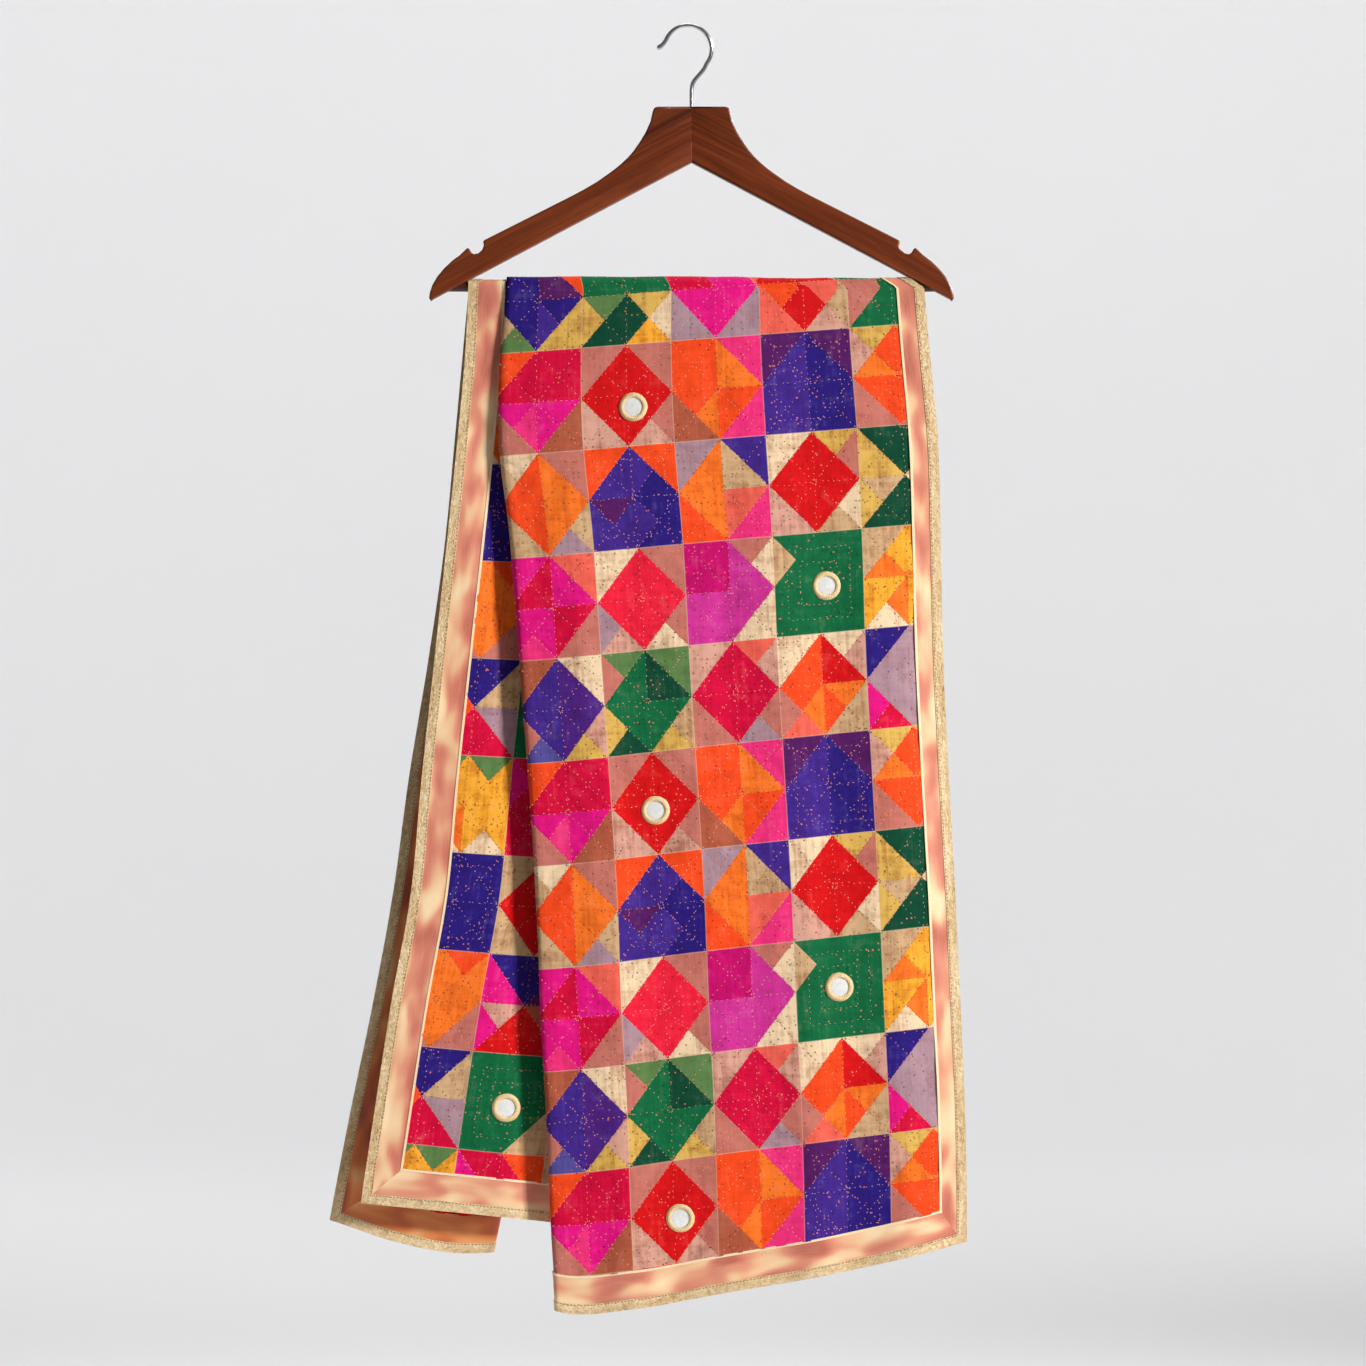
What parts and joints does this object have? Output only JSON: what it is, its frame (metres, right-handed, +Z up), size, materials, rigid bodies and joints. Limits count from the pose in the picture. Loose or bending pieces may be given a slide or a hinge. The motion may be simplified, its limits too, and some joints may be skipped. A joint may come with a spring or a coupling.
{
  "type": "dupatta on a wooden hanger",
  "caption": "Patchwork-printed silk dupatta with satin border and small round mirrors, folded lengthwise and draped over the bar of a wooden hanger.",
  "frame": {"origin": "top of the inner curve of the hanger's hook, where a rail holds it", "axes": "+Z up, the outer panel of the front drop faces -Y, +X to the right of someone facing it"},
  "size_m": [0.546, 0.0612, 1.1036],
  "materials": {
    "printed_silk": "patchwork print on silk, running stitch",
    "satin": "shot satin, coral and cream gold",
    "tissue": "crinkled pale gold tissue",
    "mirror": "small glass mirror",
    "thread": "wrapped gold thread",
    "wood": "red-brown varnish",
    "bar_wood": "dark varnish",
    "wire": "polished"
  },
  "bodies": {
    "root": {"hanger_arm_left": "wood", "hanger_arm_right": "wood", "hanger_hook": "wire", "hanger_trouser_bar": "bar_wood", "field_front_flap": "printed_silk", "field_front_middle": "printed_silk", "field_front_panel": "printed_silk", "band_left_front": "satin", "binding_left_front": "tissue", "band_right_front": "satin", "binding_right_front": "tissue", "band_hem_front_flap": "satin", "binding_hem_front_flap": "tissue", "band_hem_front_middle": "satin", "binding_hem_front_middle": "tissue", "band_hem_front_panel": "satin", "binding_hem_front_panel": "tissue", "field_back_flap": "printed_silk", "field_back_middle": "printed_silk", "field_back_panel": "printed_silk", "band_left_back": "satin", "binding_left_back": "tissue", "band_right_back": "satin", "binding_right_back": "tissue", "band_hem_back_flap": "satin", "binding_hem_back_flap": "tissue", "band_hem_back_middle": "satin", "binding_hem_back_middle": "tissue", "band_hem_back_panel": "satin", "binding_hem_back_panel": "tissue", "mirror_front_1": "mirror", "ring_front_1": "thread", "mirror_front_2": "mirror", "ring_front_2": "thread", "mirror_front_3": "mirror", "ring_front_3": "thread", "mirror_front_4": "mirror", "ring_front_4": "thread", "mirror_front_5": "mirror", "ring_front_5": "thread", "mirror_back_6": "mirror", "ring_back_6": "thread", "mirror_back_7": "mirror", "ring_back_7": "thread", "mirror_back_8": "mirror", "ring_back_8": "thread", "mirror_back_9": "mirror", "ring_back_9": "thread", "mirror_flap": "mirror", "ring_flap": "thread"}
  },
  "joints": []
}
